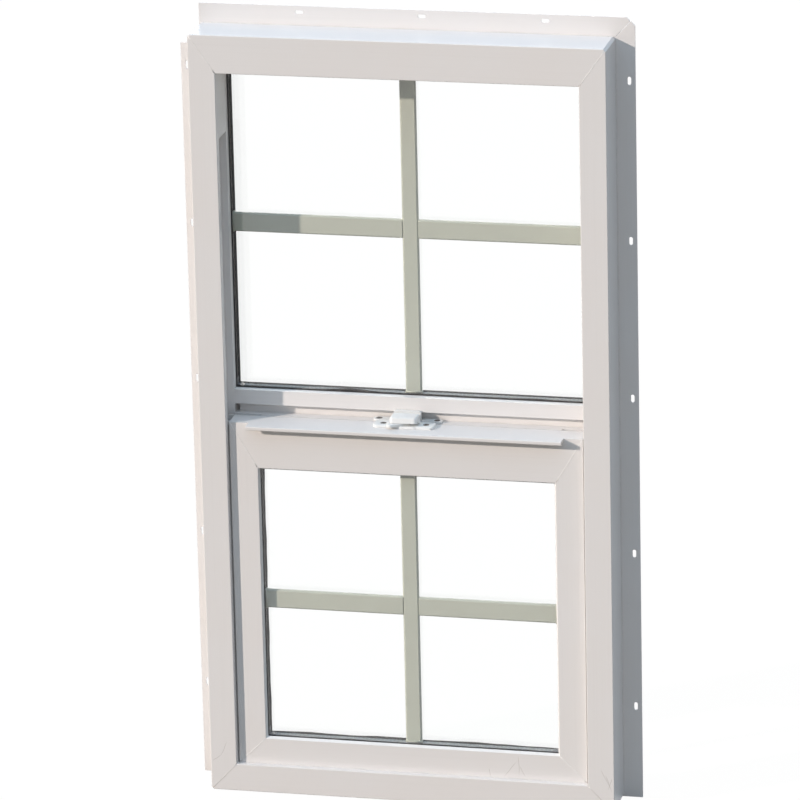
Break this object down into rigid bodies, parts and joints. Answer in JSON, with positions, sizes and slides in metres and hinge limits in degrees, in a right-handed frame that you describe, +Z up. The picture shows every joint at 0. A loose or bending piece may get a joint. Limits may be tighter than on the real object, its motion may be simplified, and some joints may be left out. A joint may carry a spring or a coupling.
{
  "type": "sliding window",
  "caption": "Vertical sliding window in a white plastic frame with nailing fins: fixed upper light, lower sash with a lift lip and cam lock, sealed double glazing with bars inside.",
  "frame": {"origin": "middle of the head fin's bearing face, which lies against the outside of the wall", "axes": "X along the window's width, +Y from the room to the outside, +Z up"},
  "size_m": [0.556, 0.102, 0.989],
  "materials": {
    "white_plastic": "satin",
    "lock_paint": "satin",
    "clear_glass": "clear",
    "spacer_metal": "matt",
    "grille_paint": "satin",
    "black_rubber": "matt",
    "grey_pile": "pile",
    "grey_plastic": "matt"
  },
  "bodies": {
    "root": {"balance_shoe_left": "grey_plastic", "balance_shoe_right": "grey_plastic", "fixed_meeting_rail": "white_plastic", "frame_head": "white_plastic", "frame_jamb_left": "white_plastic", "frame_jamb_right": "white_plastic", "frame_sill": "white_plastic", "lock_base": "lock_paint", "lock_keeper": "lock_paint", "lock_lever": "lock_paint", "lower_bead_bottom": "white_plastic", "lower_bead_left": "white_plastic", "lower_bead_right": "white_plastic", "lower_bead_top": "white_plastic", "lower_glass_inner": "clear_glass", "lower_glass_outer": "clear_glass", "lower_glazing_gaskets": "black_rubber", "lower_grille_crossbar": "grille_paint", "lower_grille_upright": "grille_paint", "lower_setting_blocks": "black_rubber", "lower_spacer": "spacer_metal", "meeting_rail_weatherstrip": "grey_pile", "pile_weatherstrip_left": "grey_pile", "pile_weatherstrip_right": "grey_pile", "sash_bottom_rail": "white_plastic", "sash_stile_left": "white_plastic", "sash_stile_right": "white_plastic", "sash_top_rail": "white_plastic", "track_filler_left": "white_plastic", "track_filler_right": "white_plastic", "upper_bead_bottom": "white_plastic", "upper_bead_left": "white_plastic", "upper_bead_right": "white_plastic", "upper_bead_top": "white_plastic", "upper_glass_inner": "clear_glass", "upper_glass_outer": "clear_glass", "upper_glazing_gaskets": "black_rubber", "upper_grille_crossbar": "grille_paint", "upper_grille_upright": "grille_paint", "upper_setting_blocks": "black_rubber", "upper_spacer": "spacer_metal"}
  },
  "joints": []
}
